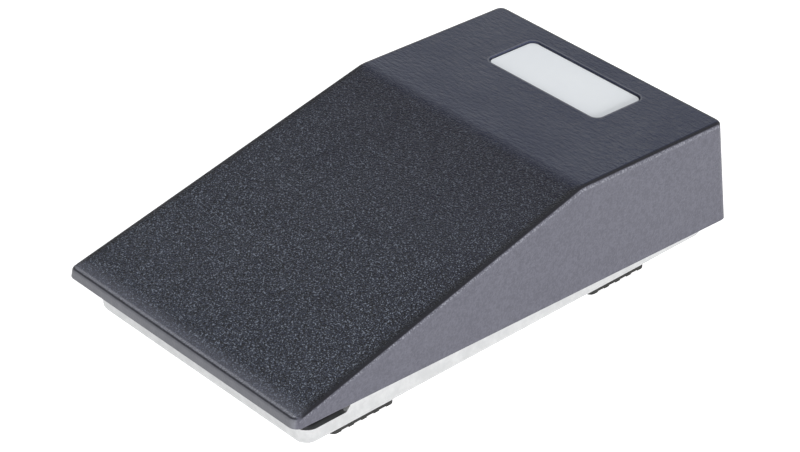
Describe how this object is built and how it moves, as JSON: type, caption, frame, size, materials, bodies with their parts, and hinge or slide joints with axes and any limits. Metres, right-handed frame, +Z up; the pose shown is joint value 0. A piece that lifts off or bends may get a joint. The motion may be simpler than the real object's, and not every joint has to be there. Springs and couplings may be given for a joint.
{
  "type": "foot switch",
  "caption": "Low foot switch: a cast wedge pedal hinged at its high rear end over a formed sheet tray with springs, stops, a snap switch and a rear cord inlet.",
  "frame": {"origin": "middle of the footprint of the whole part, on the floor under the rubber pads", "axes": "+Y from the low front end to the high rear end, +Z up, +X to the right seen from the front"},
  "size_m": [0.073, 0.1254, 0.0314],
  "materials": {
    "cast_paint": "textured grey paint on a casting",
    "plate_film": "plain white film",
    "plated_sheet": "bright zinc plating",
    "plated_screw": "zinc plating",
    "pin_steel": "ground steel",
    "cast_zinc": "bare die casting",
    "spring_wire": "drawn wire",
    "black_rubber": "moulded",
    "nylon": "moulded",
    "phenolic": "moulded",
    "plunger_red": "moulded",
    "terminal_brass": "stamped",
    "blade_copper": "stamped spring copper",
    "fibre_sheet": "insulating fibre",
    "earth_green": "green dyed plating"
  },
  "bodies": {
    "base": {"base_tray": "plated_sheet", "inlet_panel": "plated_sheet", "hinge_pins": "pin_steel", "pin_clips": "spring_wire", "front_pad": "black_rubber", "rear_pad": "black_rubber", "stop_bumpers": "black_rubber", "return_spring_left": "spring_wire", "return_spring_right": "spring_wire", "switch_bracket": "plated_sheet", "bracket_rivets": "plated_screw", "switch_case": "phenolic", "switch_cover": "phenolic", "lever_pin": "pin_steel", "terminal_common": "terminal_brass", "terminal_open": "terminal_brass", "terminal_closed": "terminal_brass", "switch_screws": "plated_screw", "switch_nuts": "plated_screw", "insulating_sheet": "fibre_sheet", "cord_bushing": "black_rubber", "earth_screw": "earth_green", "earth_washer": "plated_screw"},
    "pedal": {"pedal_cover": "cast_paint", "rating_plate": "plate_film", "pin_keepers": "cast_zinc", "keeper_screws": "plated_screw", "stop_screws": "plated_screw", "stop_washers": "nylon"},
    "lever": {"switch_lever": "plated_sheet"},
    "plunger": {"switch_plunger": "plunger_red"},
    "blade": {"contact_blade": "blade_copper"}
  },
  "joints": [
    {"name": "pedal_tilt", "type": "hinge", "parent": "base", "child": "pedal", "pos_m": [0, 0.04955, 0.00975], "axis": [1, 0, 0], "range_deg": [0, 2.1], "stiffness_Nm_per_rad": 15.9, "springref_deg": -3.07, "deforming": ["return_spring_left", "return_spring_right"]},
    {"name": "lever_turn", "type": "hinge", "parent": "base", "child": "lever", "pos_m": [0, 0.02669, 0.02075], "axis": [1, 0, 0], "range_deg": [0, 3.82]},
    {"name": "plunger_slide", "type": "slide", "parent": "base", "child": "plunger", "axis": [0, 0, -1], "range_m": [0, 0.00061]},
    {"name": "blade_flex", "type": "hinge", "parent": "base", "child": "blade", "pos_m": [0, 0.02219, 0.0145], "axis": [1, 0, 0], "range_deg": [0, 7.67]}
  ],
  "couplings": [
    {"joint": "lever_turn", "follows": "pedal_tilt", "ratio": 1.8165},
    {"joint": "plunger_slide", "follows": "pedal_tilt", "m_per_rad": 0.016377},
    {"joint": "blade_flex", "follows": "pedal_tilt", "ratio": 3.6501}
  ]
}
